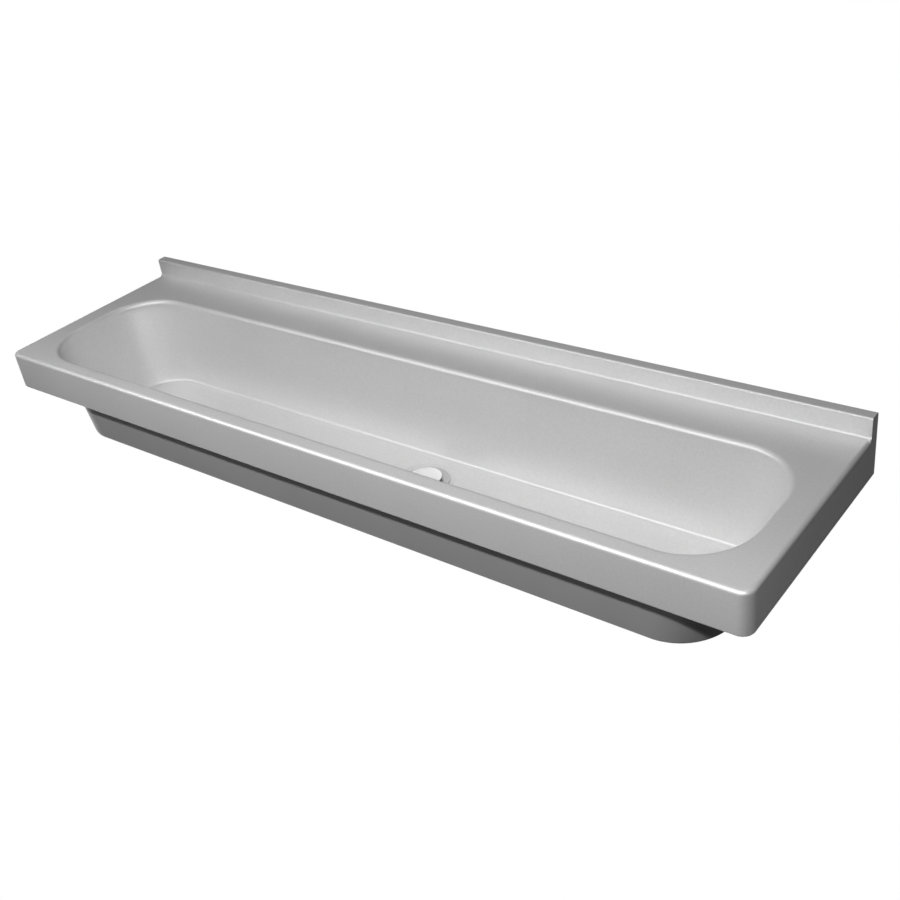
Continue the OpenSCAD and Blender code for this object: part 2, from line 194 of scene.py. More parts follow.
def turn_normals(mesh, upwards=False):
    """All faces point the same way: outwards on a closed skin, or upwards on the whole."""
    bm = bmesh.new()
    bm.from_mesh(mesh)
    triangles = [face for face in bm.faces if len(face.verts) == 3]
    shared = [edge for edge in bm.edges
              if len(edge.link_faces) == 2 and all(len(face.verts) == 3 for face in edge.link_faces)]
    bmesh.ops.beautify_fill(bm, faces=triangles, edges=shared)
    bmesh.ops.recalc_face_normals(bm, faces=bm.faces)
    if upwards and sum(face.normal.z * face.calc_area() for face in bm.faces) < 0:
        bmesh.ops.reverse_faces(bm, faces=bm.faces)
    bm.to_mesh(mesh)
    bm.free()


def apply_modifiers(piece):
    bpy.context.view_layer.update()
    evaluated = piece.evaluated_get(bpy.context.evaluated_depsgraph_get())
    mesh = bpy.data.meshes.new_from_object(evaluated)
    piece.modifiers.clear()
    piece.data = mesh


def sheet_metal(name, sheet):
    """The sheet given its thickness, away from its visible face."""
    piece = new_object(name, sheet.points, sheet.faces)
    turn_normals(piece.data, upwards=True)
    piece.data.materials.append(SATIN)
    piece.data.materials.append(MILL)
    thicken = piece.modifiers.new("thickness", "SOLIDIFY")
    thicken.thickness = SHEET
    thicken.offset = -1
    thicken.use_even_offset = True
    thicken.material_offset = 1
    apply_modifiers(piece)
    return shade(piece)


def rounded(bm, edges, width, segments):
    bmesh.ops.bevel(bm, geom=edges, offset=width, segments=segments, profile=0.5,
                    affect="EDGES", clamp_overlap=True)


def softened(name, node, width, material, segments=2, fold=None):
    """A CAD node's shape with its sharp edges broken, as a piece of its own; fold picks the bent edges."""
    bm = bmesh.new()
    bm.from_mesh(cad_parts[node].data)
    bmesh.ops.remove_doubles(bm, verts=bm.verts, dist=1 / MICRONS)
    bmesh.ops.dissolve_limit(bm, angle_limit=FLAT_EDGE, verts=bm.verts, edges=bm.edges)
    if fold:
        bent = [edge for edge in bm.edges if fold(*[v.co for v in edge.verts])]
        rounded(bm, bent, BRACKET_FOLD_R, BRACKET_FOLD_STEPS)
    sharp = [edge for edge in bm.edges if len(edge.link_faces) == 2 and edge.calc_face_angle() > BROKEN_EDGE]
    rounded(bm, sharp, width, segments)
    piece = from_bmesh(name, bm)
    piece.data.materials.append(material)
    return shade(piece)


def finished(name, skin, material):
    """A closed skin as a smooth piece of one material."""
    piece = new_object(name, skin.points, skin.faces)
    turn_normals(piece.data)
    piece.data.materials.append(material)
    return shade(piece)


def closed_rows(name, rows, material):
    """A closed skin over rings of points, capped at both ends."""
    skin = Sheet()
    skin.rows(rows, closed=True)
    skin.face(rows[0])
    skin.face(rows[-1])
    return finished(name, skin, material)


def joined(name, pieces):
    """Several pieces as one object."""
    bm = bmesh.new()
    for piece in pieces:
        bm.from_mesh(piece.data)
    whole = from_bmesh(name, bm)
    for material in pieces[0].data.materials:
        whole.data.materials.append(material)
    for piece in pieces:
        bpy.data.objects.remove(piece)
    return shade(whole)


def arc(centre, radius, start, end, steps=BEND_STEPS):
    """Points of an arc in a section, angles in degrees."""
    angles = [math.radians(start + (end - start) * k / steps) for k in range(steps + 1)]
    return [(centre[0] + radius * math.cos(a), centre[1] + radius * math.sin(a)) for a in angles]


def turned(centre, radius, angle, z):
    """The point at a radius and an angle round a vertical axis."""
    return (centre[0] + radius * math.cos(angle), centre[1] + radius * math.sin(angle), z)


def lathe_rows(profile, steps, centre):
    """Rings of points round a vertical axis, from (radius, height) pairs."""
    angles = [2 * math.pi * i / steps for i in range(steps)]
    return [[turned(centre, r, a, z) for a in angles] for r, z in profile]


# How steeply a thread's flanks rise: 2 is a sharp crest, and more leaves it flat
FLANK = 2.6


def thread_rows(radius, pitch, depth, low, high, centre, steps, rises):
    """Rings of points round a vertical screw thread, rises to each pitch, its ends tapered to the root."""
    count = max(2, round((high - low) / pitch * rises))
    rows = []
    for k in range(count + 1):
        z = low + (high - low) * k / count
        row = []
        for i in range(steps):
            turn = i / steps
            phase = (z / pitch - turn) % 1
            crest = min(1, FLANK * (1 - abs(2 * phase - 1)))
            lead = min(1, (high - z) / pitch, (z - low) / pitch)
            row.append(turned(centre, radius - depth * (1 - crest * lead), 2 * math.pi * turn, z))
        rows.append(row)
    return rows


# ---------------------------------------------------------------- outlines

def grown(box, by):
    """A rounded rectangle (x0, x1, y0, y1, corner radius) moved outwards on all sides."""
    x0, x1, y0, y1, r = box
    return (x0 - by, x1 + by, y0 - by, y1 + by, r + by)


def between(start, end, share):
    """Each number of start moved by a share of the way to its partner in end."""
    return tuple(a + (b - a) * share for a, b in zip(start, end))


def outline(box):
    """A rounded rectangle's points, from the upper end of its right side, anticlockwise."""
    x0, x1, y0, y1, r = box
    centres = [(x1 - r, y1 - r), (x0 + r, y1 - r), (x0 + r, y0 + r), (x1 - r, y0 + r)]
    corners = [arc(centre, r, 90 * quarter, 90 * quarter + 90, CORNER_STEPS)
               for quarter, centre in enumerate(centres)]
    points = []
    for here, following in zip(corners, corners[1:] + corners[:1]):
        points += here
        (ax, ay), (bx, by) = here[-1], following[0]
        for k in range(1, SIDE_STEPS):
            points.append((ax + (bx - ax) * k / SIDE_STEPS, ay + (by - ay) * k / SIDE_STEPS))
    return points


def ring(box, z):
    return [(x, y, z) for x, y in outline(box)]


LIP_EDGE = (bowl_low.x + SHEET, bowl_high.x - SHEET, bowl_low.y + SHEET, bowl_high.y - SHEET, LIP_CORNER_R)
OPENING = grown(LIP_EDGE, LIP_R)
FLOOR_EDGE = (LIP_EDGE[0] + END_DRAFT, LIP_EDGE[1] - END_DRAFT,
              LIP_EDGE[2] + FRONT_DRAFT, LIP_EDGE[3] - REAR_DRAFT, FLOOR_CORNER_R)


def wall_box(z):
    """The wall's outline at height z: upright at the lip, then leaning in."""
    depth = DECK - LIP_R - z
    whole = DECK - LIP_R - BASIN_FLOOR - LEAN_IN / 2
    share = depth * depth / (2 * LEAN_IN) if depth < LEAN_IN else depth - LEAN_IN / 2
    return between(LIP_EDGE, FLOOR_EDGE, share / whole)


# ---------------------------------------------------------------- shaders

class Socket:
    """A shader value that Python's operators turn into Math nodes."""

    def __init__(self, graph, socket):
        self.graph = graph
        self.socket = socket

    def __add__(self, other):
        return self.graph.math("ADD", self, other)

    def __sub__(self, other):
        return self.graph.math("SUBTRACT", self, other)

    def __rsub__(self, other):
        return self.graph.math("SUBTRACT", other, self)

    def __mul__(self, other):
        return self.graph.math("MULTIPLY", self, other)

    def __truediv__(self, other):
        return self.graph.math("DIVIDE", self, other)

    def __rtruediv__(self, other):
        return self.graph.math("DIVIDE", other, self)

    def __pow__(self, other):
        return self.graph.math("POWER", self, other)

    __radd__ = __add__
    __rmul__ = __mul__

    def smooth(self, low, high):
        """0 below low, 1 above high and a smooth step between."""
        return self.graph.add("ShaderNodeMapRange", {"Value": self, "From Min": low, "From Max": high},
                              interpolation_type="SMOOTHSTEP")

    def spread(self, reach):
        """A pattern of 0 to 1 turned into one of reach in all, round 0."""
        return (self - 0.5) * reach


class Graph:
    """One node tree, which add() fills."""

    def __init__(self, tree):
        self.tree = tree
        tree.nodes.clear()

    def add(self, kind, inputs=None, output=0, **settings):
        node = self.tree.nodes.new(kind)
        for name, value in settings.items():
            setattr(node, name, value)
        for name, value in (inputs or {}).items():
            if isinstance(value, Socket):
                self.tree.links.new(value.socket, node.inputs[name])
            else:
                node.inputs[name].default_value = value
        return None if output is None else Socket(self, node.outputs[output])

    def math(self, operation, *values):
        return self.add("ShaderNodeMath", dict(enumerate(values)), operation=operation)

    def place(self, stretch=(1, 1, 1)):
        """The surface point in metres, in the trough's own frame."""
        point = self.add("ShaderNodeTexCoord", output="Object")
        return self.add("ShaderNodeVectorMath", {0: point, 1: stretch}, operation="MULTIPLY")

    def noise(self, place, scale, detail=2.0, roughness=0.5):
        return self.add("ShaderNodeTexNoise",
                        {"Vector": place, "Scale": scale, "Detail": detail, "Roughness": roughness})

    def blend(self, share, first, second):
        return self.add("ShaderNodeMix", {"Factor": share, "A": first, "B": second}, "Result",
                        data_type="RGBA")

    def bump(self, height, depth):
        """A Bump node whose height of 1 is depth metres."""
        return self.add("ShaderNodeBump", {"Height": height, "Strength": 1.0, "Distance": depth})

    def end(self, shader, kind="ShaderNodeOutputMaterial"):
        self.add(kind, {"Surface": shader}, output=None)

    def surface(self, **values):
        """The Principled surface, its sockets named in lower case."""
        self.end(self.add("ShaderNodeBsdfPrincipled",
                          {name.replace("_", " ").title(): value for name, value in values.items()}))


def material(name):
    made = bpy.data.materials.new(name)
    made.use_nodes = True
    return made, Graph(made.node_tree)


def grey(level):
    return (level, level, level, 1)


# Stretch of a pattern whose lines run along the trough, as the sheet was rolled
ROLLED = (6, 900, 900)
# Stretch of the soft marks that wiping along the trough leaves
WIPED = (3, 60, 60)
# Spot welds of the channel: their pitch, their distance from the flange's edge, their radius and their rim
WELD_PITCH = 60 * MM
WELD_LINE = 6 * MM
WELD_R = 2.6 * MM
WELD_RIM = 0.6 * MM
SCORCH = (0.20, 0.16, 0.12, 1)
# Distance between the rings that the turning tool leaves on brass
TOOL_PITCH = 0.4 * MM


def satin_steel():
    """The visible face: fine blasted grain, a little uneven in tone, with soft wipe marks."""
    made, g = material("satin_steel")
    place = g.place()
    grain = g.noise(place, 1500, 3, 0.6)
    mottle = g.noise(place, 270, 2)
    cloud = g.noise(place, 7, 3)
    wipes = g.noise(g.place(WIPED), 1, 3)
    g.surface(base_color=g.blend(cloud * 0.3 + mottle * 0.7, grey(0.66), grey(0.82)),
              metallic=0.45,
              roughness=0.50 + cloud.spread(0.06) + wipes.spread(0.06) + grain.spread(0.06),
              normal=g.bump(grain, 0.01 * MM))
    return made


def mill_steel():
    """The hidden face as it left the mill: duller, with long rolling lines."""
    made, g = material("mill_steel")
    place = g.place()
    grain = g.noise(place, 900, 2)
    lines = g.noise(g.place(ROLLED), 1, 2)
    cloud = g.noise(place, 5, 4, 0.6)
    g.surface(base_color=g.blend(cloud, grey(0.46), grey(0.54)),
              metallic=0.45,
              roughness=0.45 + cloud.spread(0.12) + lines.spread(0.08),
              normal=g.bump(grain + lines, 0.02 * MM))
    return made


def welded_steel():
    """The channel: mill steel with a row of spot-weld marks along each flange."""
    made, g = material("welded_steel")
    place = g.place()
    lines = g.noise(g.place(ROLLED), 1, 2)
    cloud = g.noise(place, 6, 4, 0.6)
    x, y = (g.add("ShaderNodeSeparateXYZ", {"Vector": place}, axis) for axis in "XY")
    along = g.math("FRACT", x / WELD_PITCH).spread(WELD_PITCH)
    front = g.math("ABSOLUTE", y - (channel_low.y + WELD_LINE))
    rear = g.math("ABSOLUTE", y - (channel_high.y - WELD_LINE))
    across = g.math("MINIMUM", front, rear)
    reach = (along * along + across * across) ** 0.5
    dent = 1 - reach.smooth(WELD_R - WELD_RIM, WELD_R)
    tint = (1 - reach.smooth(WELD_R, 2 * WELD_R)) * 0.6
    plain = g.blend(cloud, grey(0.42), grey(0.50))
    g.surface(base_color=g.blend(tint, plain, SCORCH),
              metallic=0.6,
              roughness=0.50 + cloud.spread(0.12) + dent * 0.15,
              normal=g.bump(lines * 0.05 - dent, 0.3 * MM))
    return made


def chrome(name, shine, roughness):
    """Chrome plate with faint polishing haze."""
    made, g = material(name)
    haze = g.noise(g.place(), 60, 4, 0.6)
    g.surface(base_color=g.blend(haze, grey(shine - 0.03), grey(shine + 0.03)),
              metallic=1.0,
              roughness=roughness + haze.spread(0.08))
    return made


def zinc():
    """Zinc plate with a faint spangle."""
    made, g = material("zinc_plate")
    place = g.place()
    spangle = g.add("ShaderNodeTexVoronoi", {"Vector": place, "Scale": 130}, "Color")
    facet = g.add("ShaderNodeSeparateColor", {"Color": spangle})
    haze = g.noise(place, 40, 4, 0.6)
    g.surface(base_color=g.blend(facet, (0.46, 0.48, 0.51, 1), (0.60, 0.62, 0.65, 1)),
              metallic=1.0,
              roughness=0.36 + facet * 0.10 + haze.spread(0.15))
    return made


def rubber():
    """Moulded black rubber with a pale bloom."""
    made, g = material("black_rubber")
    place = g.place()
    bloom = g.noise(place, 90, 4, 0.6)
    g.surface(base_color=g.blend(bloom, grey(0.022), grey(0.045)),
              roughness=0.62 + bloom.spread(0.2),
              normal=g.bump(g.noise(place, 1200, 2), 0.03 * MM))
    return made


def bitumen():
    """Sound-deadening pad, pressed with a small check."""
    made, g = material("bitumen_pad")
    place = g.place()
    check = g.add("ShaderNodeTexChecker", {"Vector": place, "Scale": 120}, "Fac")
    dust = g.noise(place, 25, 5, 0.65)
    g.surface(base_color=g.blend(dust, grey(0.035), grey(0.075)),
              roughness=0.75 + dust.spread(0.2),
              normal=g.bump(check * 0.5 + g.noise(place, 700, 3), 0.12 * MM))
    return made


def nylon():
    """Natural nylon, a little cloudy."""
    made, g = material("white_nylon")
    cloud = g.noise(g.place(), 50, 3)
    g.surface(base_color=g.blend(cloud, (0.72, 0.71, 0.66, 1), (0.82, 0.81, 0.77, 1)),
              roughness=0.42 + cloud.spread(0.12))
    return made


def brass():
    """Turned brass, with fine tool rings round the waste's axis."""
    made, g = material("turned_brass")
    place = g.place()
    height = g.add("ShaderNodeSeparateXYZ", {"Vector": place}, "Z")
    rings = g.math("SINE", height * (2 * math.pi / TOOL_PITCH))
    tarnish = g.noise(place, 70, 4, 0.6)
    g.surface(base_color=g.blend(tarnish, (0.60, 0.42, 0.18, 1), (0.76, 0.58, 0.30, 1)),
              metallic=1.0,
              roughness=0.26 + tarnish * 0.14,
              normal=g.bump(rings, 0.01 * MM))
    return made


def spring_steel():
    """Drawn wire, a little uneven in shine."""
    made, g = material("spring_steel")
    draw = g.noise(g.place(), 400, 3)
    g.surface(base_color=g.blend(draw, grey(0.40), grey(0.52)), metallic=1.0,
              roughness=0.30 + draw.spread(0.12))
    return made


SATIN = satin_steel()
MILL = mill_steel()
WELDED = welded_steel()
CHROME = chrome("polished_chrome", 0.93, 0.12)
DULL_CHROME = chrome("brushed_chrome", 0.60, 0.30)
ZINC = zinc()
RUBBER = rubber()
BITUMEN = bitumen()
NYLON = nylon()
BRASS = brass()
SPRING = spring_steel()


# ---------------------------------------------------------------- the deck

RETURN_STEPS = 6


def edge_profile():
    """The deck's edge: (distance out from the corner axis, height below the deck)."""
    flat = CORNER_R - EDGE_R
    drop = DECK - FOOT
    roll = arc((flat, -EDGE_R), EDGE_R, 90, 0)
    fold = arc((CORNER_R - RETURN_R, RETURN_R - drop), RETURN_R, 0, -90, RETURN_STEPS)
    return ([(0, 0), (flat - STRIP, 0)] + roll
            + [(CORNER_R, -EDGE_R - STRIP), (CORNER_R, -drop / 2), (CORNER_R, RETURN_R - drop + STRIP)] + fold
            + [(CORNER_R - RETURN_R - STRIP, -drop), (CORNER_R - RETURN_W, -drop)])


def upstand_profile():
    """The fold and the upstand, as (Y, height above the deck), from the deck round to the back."""
    face, top = -UPSTAND_T, UPSTAND_TOP - DECK
    return (arc((face - FOLD_R, FOLD_R), FOLD_R, -90, 0)
            + [(face, FOLD_R + STRIP), (face, top / 2), (face, top - UPSTAND_R - STRIP)]
            + arc((face + UPSTAND_R, top - UPSTAND_R), UPSTAND_R, 180, 90)
            + [(face + UPSTAND_R + STRIP, top), (-UPSTAND_R - STRIP, top)]
            + arc((-UPSTAND_R, top - UPSTAND_R), UPSTAND_R, 90, 0)
            + [(0, top - UPSTAND_R - STRIP), (0, 0), (0, -SHEET)])


def deck_rim():
    """The flat deck's outer edge, point for point with the opening's outline."""
    x1 = END - CORNER_R
    y0 = FRONT + CORNER_R
    y1 = -UPSTAND_T - FOLD_R
    corner_points = [(x1, y1), (-x1, y1), (-x1, y0), (x1, y0)]
    opening = outline(OPENING)
    side = CORNER_STEPS + SIDE_STEPS
    half = CORNER_STEPS / 2
    rim = []
    for i, (x, y) in enumerate(opening):
        quarter, step = divmod(i, side)
        corner = corner_points[quarter]
        # On each quarter the outline leaves one side of the deck and ends on the next
        upright = quarter % 2 == 0
        here = opening[quarter * side]
        there = opening[(quarter * side + CORNER_STEPS) % len(opening)]
        start = (corner[0], here[1]) if upright else (here[0], corner[1])
        end = (there[0], corner[1]) if upright else (corner[0], there[1])
        if step <= half:
            rim.append(between(start, corner, step / half))
        elif step <= CORNER_STEPS:
            rim.append(between(corner, end, step / half - 1))
        else:
            rim.append((x, corner[1]) if upright else (corner[0], y))
    return rim


def deck_skin():
    sheet = Sheet()
    rim = deck_rim()
    turns = [math.radians(90 * k / BEND_STEPS) for k in range(BEND_STEPS + 1)]

    # The rolled lip, and the flat deck round it
    lip = [ring(grown(OPENING, -LIP_R * math.sin(a)), DECK - LIP_R * (1 - math.cos(a)))
           for a in reversed(turns)]
    strip = ring(grown(OPENING, STRIP), DECK)
    sheet.rows(lip + [strip, [(x, y, DECK) for x, y in rim]], closed=True)

    # The rolled edge and apron, swept round the left end, the front and the right end
    side = CORNER_STEPS + SIDE_STEPS
    rear_right = CORNER_STEPS // 2
    rear_left = side + rear_right
    path = []
    for i in list(range(rear_left, len(rim))) + list(range(rear_right + 1)):
        quarter, step = divmod(i, side)
        if i == rear_left:
            path.append((rim[i], 180))
        elif step == rear_right and quarter in (2, 3):
            path += [(rim[i], 90 * quarter + 90 * k / BEND_STEPS) for k in range(BEND_STEPS + 1)]
        else:
            past = step > rear_right
            path.append((rim[i], (90 * (quarter + past)) % 360))
    profile = edge_profile()
    sheet.rows([[turned(corner, out, math.radians(heading), DECK + drop) for corner, heading in path]
                for out, drop in profile])

    # The upstand, from its fold to its back
    rear = [x for x, y in rim[rear_right:rear_left + 1]]
    flat = END - EDGE_R
    columns = [END - SHEET, flat, flat - STRIP] + rear + [-flat + STRIP, -flat, -END + SHEET]
    sheet.rows([[(x, y, DECK + z) for x in columns] for y, z in upstand_profile()])

    # The ends under the upstand, with the corner closed beside the deck's roll
    x0 = END - CORNER_R
    y1 = -UPSTAND_T - FOLD_R
    roll_end = 2 + BEND_STEPS
    stub = [(CORNER_R, 0)] + profile[roll_end:]
    for s in (1, -1):
        sheet.rows([[(s * (x0 + out), y, DECK + drop) for out, drop in stub] for y in (y1, y1 / 2, 0)])
        patch = [(s * (x0 + out), y1, DECK + drop) for out, drop in profile[2:roll_end + 1]]
        sheet.face([(s * (END - SHEET), y1, DECK)] + patch + [(s * END, y1, DECK)])
    return sheet


# ---------------------------------------------------------------- the bowl

# Depths below the lip of the wall's upper rows, and the steps from the last of them to the fillet
UPPER_ROWS = [0, 1 * MM, 3 * MM, 6 * MM, 10 * MM, 16 * MM, 24 * MM]
WALL_STEPS = 6
FILLET_STEPS = 10
SLOPE_STEPS = 14
DISH_STEPS = 96
# The shelf's soft step in section: distance inwards from its middle, and share of its height
SHELF_STEP = [(-1.8 * MM, 1), (-0.9 * MM, 1), (-0.45 * MM, 0.85), (0, 0.5),
              (0.45 * MM, 0.15), (0.9 * MM, 0), (1.8 * MM, 0)]


def bowl_skin():
    sheet = Sheet()
    top = DECK - LIP_R
    wall_foot = BASIN_FLOOR + SHELF_H + FILLET_R
    heights = [top - depth for depth in UPPER_ROWS]
    rest = heights[-1] - wall_foot
    heights += [heights[-1] - rest * k / WALL_STEPS for k in range(1, WALL_STEPS)] + [wall_foot + STRIP]
    rows = [ring(wall_box(z), z) for z in heights]
    for k in range(FILLET_STEPS + 1):
        a = math.radians(90 * k / FILLET_STEPS)
        z = wall_foot - FILLET_R * math.sin(a)
        rows.append(ring(grown(wall_box(z), -FILLET_R * (1 - math.cos(a))), z))
    shelf = wall_box(wall_foot - FILLET_R)
    for inwards, share in SHELF_STEP:
        rows.append(ring(grown(shelf, -SHELF_W - inwards), BASIN_FLOOR + SHELF_H * share))
    sheet.rows(rows, closed=True)

    # The recess for the waste, pressed with one long soft slope
    low = BASIN_FLOOR - RECESS_D
    profile = [(RECESS_R + RECESS_SLOPE + STRIP, BASIN_FLOOR)]
    for k in range(SLOPE_STEPS + 1):
        share = k / SLOPE_STEPS
        drop = RECESS_D * share * share * (3 - 2 * share)
        profile.append((RECESS_R + RECESS_SLOPE * (1 - share), BASIN_FLOOR - drop))
    profile += [(RECESS_R - STRIP, low), (HOLE_R + STRIP, low), (HOLE_R, low)]
    dish = lathe_rows(profile, DISH_STEPS, WASTE)
    sheet.rows(dish, closed=True)
    sheet.fill([Vector(p) for p in rows[-1]], [Vector(p) for p in dish[0]])
    return sheet


def closing_plate(name, s):
    """The plate that closes one end of the upstand, its outer edge ground soft."""
    y1 = -UPSTAND_T - FOLD_R
    top = UPSTAND_TOP - DECK
    section = ([(0, 0), (0, top - UPSTAND_R)] + arc((-UPSTAND_R, top - UPSTAND_R), UPSTAND_R, 0, 90)[1:]
               + arc((-UPSTAND_T + UPSTAND_R, top - UPSTAND_R), UPSTAND_R, 90, 180)
               + arc((y1, FOLD_R), FOLD_R, 0, -90) + [(y1, 0)])
    outer = [(s * END, y, DECK + z) for y, z in section]
    inner = [(s * (END - SHEET), y, DECK + z) for y, z in section]
    return closed_rows(name, [inner, outer], SATIN)


# ---------------------------------------------------------------- the waste

# The flange, and the seat that the plug's seal rests on
FLANGE_R = (waste_high.x - waste_low.x) / 2
FLANGE_LIP = 2.4 * MM
FLANGE_FOOT = waste_high.z - FLANGE_LIP
FLANGE_ROLL = 1.1 * MM
SEAT_R = 32 * MM
# The G1 1/2 tail: its radii, the depth of the groove above its thread, and the thread
TAIL_R = 23.9 * MM
TAIL_BORE = 21 * MM
GROOVE = 0.9 * MM
THREAD_PITCH = 2.309 * MM
THREAD_DEPTH = 1.1 * MM
# The boss that takes the cartridge, and the three arms that carry it
CROSS_Z = FLANGE_FOOT - 32 * MM
CROSS_H = 5 * MM
CROSS_W = 4 * MM
BOSS_R = 8.5 * MM
BOSS_BORE = 5.05 * MM
# The plug: the radius of its rolled rim, and the tiny flat at its middle
PLUG_ROLL = 0.8 * MM
PLUG_MIDDLE = 0.2 * MM
# Steps round the turning, the boss and the plug, and up the plug's dome
TURNING_STEPS = 64
BOSS_STEPS = 48
PLUG_STEPS = 96
DOME_STEPS = 12


def waste_skin():
    """Flange, throat and threaded tail in one turning."""
    top, foot = waste_high.z, waste_low.z
    seat = FLANGE_FOOT + FLANGE_LIP / 2
    soft = 0.6 * MM
    root = TAIL_R - GROOVE
    neck = nut_low.z - 2 * MM
    bore = [(TAIL_BORE, foot + soft), (TAIL_BORE, seat - 2 * MM)]
    dish = ([(TAIL_BORE + soft, seat - soft), (TAIL_BORE + 2 * MM, seat), (SEAT_R, seat),
             (FLANGE_R - 3 * FLANGE_ROLL, top - 0.35 * MM)]
            + arc((FLANGE_R - FLANGE_ROLL, top - FLANGE_ROLL), FLANGE_ROLL, 100, 0)
            + [(FLANGE_R, FLANGE_FOOT + soft), (FLANGE_R - soft, FLANGE_FOOT), (TAIL_R, FLANGE_FOOT)])
    groove = [(TAIL_R, neck), (root, neck - 0.3 * MM)]
    end = [(root, foot + soft), (root - soft, foot), (TAIL_BORE + soft, foot)]
    thread = thread_rows(TAIL_R, THREAD_PITCH, THREAD_DEPTH, foot + 1 * MM, neck - 2 * MM, WASTE,
                         TURNING_STEPS, rises=8)
    skin = Sheet()
    skin.rows(lathe_rows(bore + dish + groove, TURNING_STEPS, WASTE) + thread[::-1]
              + lathe_rows(end + bore[:1], TURNING_STEPS, WASTE), closed=True)
    return finished("turning", skin, DULL_CHROME)


def cross_parts():
    """The boss and its three arms."""
    soft = 0.8 * MM
    low, high = CROSS_Z, CROSS_Z + CROSS_H
    profile = [(BOSS_BORE, low), (BOSS_R - soft, low), (BOSS_R, low + soft), (BOSS_R, high - soft),
               (BOSS_R - soft, high), (BOSS_BORE, high), (BOSS_BORE, low)]
    boss = Sheet()
    boss.rows(lathe_rows(profile, BOSS_STEPS, WASTE), closed=True)
    parts = [finished("boss", boss, DULL_CHROME)]
    half = CROSS_W / 2
    centres = [(half - soft, high - soft), (soft - half, high - soft),
               (soft - half, low + soft), (half - soft, low + soft)]
    section = []
    for quarter, centre in enumerate(centres):
        section += arc(centre, soft, 90 * quarter, 90 * quarter + 90, 4)
    for k in range(3):
        turn = Matrix.Rotation(2 * math.pi * k / 3, 3, "Z")
        rows = []
        for reach in (BOSS_R - soft, (BOSS_R + TAIL_BORE) / 2, TAIL_BORE + soft):
            rows.append([tuple(turn @ Vector((reach, y, z)) + Vector((*WASTE, 0))) for y, z in section])
        parts.append(closed_rows("arm", rows, DULL_CHROME))
    return parts


def plug_skin():
    """The domed plug, with a rolled rim and a shallow underside."""
    radius = (plug_high.x - plug_low.x) / 2
    base = plug_low.z
    rise = plug_high.z - base - 2 * PLUG_ROLL
    dome_r = (radius * radius + rise * rise) / (2 * rise)
    dome = []
    for k in range(DOME_STEPS):
        r = (radius - PLUG_ROLL) * k / DOME_STEPS
        dome.append((r, plug_high.z - dome_r + math.sqrt(dome_r * dome_r - r * r)))
    dome[0] = (PLUG_MIDDLE, dome[0][1])
    edge = arc((radius - PLUG_ROLL, base + PLUG_ROLL), PLUG_ROLL, 75, -90, 8)
    profile = dome + edge + [(radius - 4 * MM, base), (PLUG_MIDDLE, base)]
    return closed_rows("domed_plug", lathe_rows(profile, PLUG_STEPS, WASTE), CHROME)


# ---------------------------------------------------------------- hardware

# The M6 studs
STUD_R = 3 * MM
STUD_PITCH = 1 * MM
STUD_THREAD = 0.5 * MM
# The cartridge's spring: the wire's radius, the turns, and the steps of one turn and round the wire
SPRING_WIRE = 0.45 * MM
SPRING_TURNS = 6
TURN_STEPS = 32
WIRE_SIDES = 12
# An edge of a wall bracket this near its box's face lies on it
NEAR = 0.1 * MM


def stud_threads():
    """The four welded studs with their M6 threads."""
    studs = []
    for x in (stud_low.x + STUD_R, stud_high.x - STUD_R):
        for y in (stud_low.y + STUD_R, stud_high.y - STUD_R):
            rows = thread_rows(STUD_R, STUD_PITCH, STUD_THREAD, stud_low.z, stud_high.z, (x, y),
                               steps=24, rises=6)
            studs.append(closed_rows("stud", rows, ZINC))
    return joined("threaded_studs", studs)


def coil_spring():
    """The spring wound from the cartridge's floor up to the spindle's end."""
    middle = (spring_low + spring_high) / 2
    coil_r = (spring_high.x - spring_low.x) / 2 - SPRING_WIRE
    low, high = spring_low.z + SPRING_WIRE, spring_high.z - SPRING_WIRE
    steps = SPRING_TURNS * TURN_STEPS
    rows = []
    for k in range(steps + 1):
        section = arc((coil_r, low + (high - low) * k / steps), SPRING_WIRE, 0, 360, WIRE_SIDES)[:-1]
        rows.append([turned(middle, r, 2 * math.pi * k / TURN_STEPS, z) for r, z in section])
    return closed_rows("coil_spring", rows, SPRING)


def bracket_fold(a, b):
    """Whether the edge from a to b is an outer one of a wall bracket, where its plates meet."""
    side = min(abs(a.x), abs(b.x)) > bracket_high.x - NEAR
    return side and (min(a.z, b.z) > bracket_high.z - NEAR or min(a.y, b.y) > bracket_high.y - NEAR)


# ---------------------------------------------------------------- the pieces

def fitted(piece, node, body):
    """The piece stands for a CAD node, whose own shape it hides, and rides on a body."""
    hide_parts(node)
    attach(piece, body)


fitted(sheet_metal("pressed_deck", deck_skin()), "deck_shell", "trough")
fitted(sheet_metal("drawn_bowl", bowl_skin()), "bowl", "trough")
fitted(closing_plate("closing_plate_right", 1), "upstand_cap_right", "trough")
fitted(closing_plate("closing_plate_left", -1), "upstand_cap_left", "trough")
fitted(joined("waste_turning", [waste_skin()] + cross_parts()), "waste_body", "trough")
fitted(plug_skin(), "plug_cap", "plug")
fitted(stud_threads(), "deck_studs", "trough")

# The spring stands on the cartridge's floor and keeps a mesh of its own
spring = coil_spring()
fitted(spring, "cartridge_spring", "trough")
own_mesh(spring)

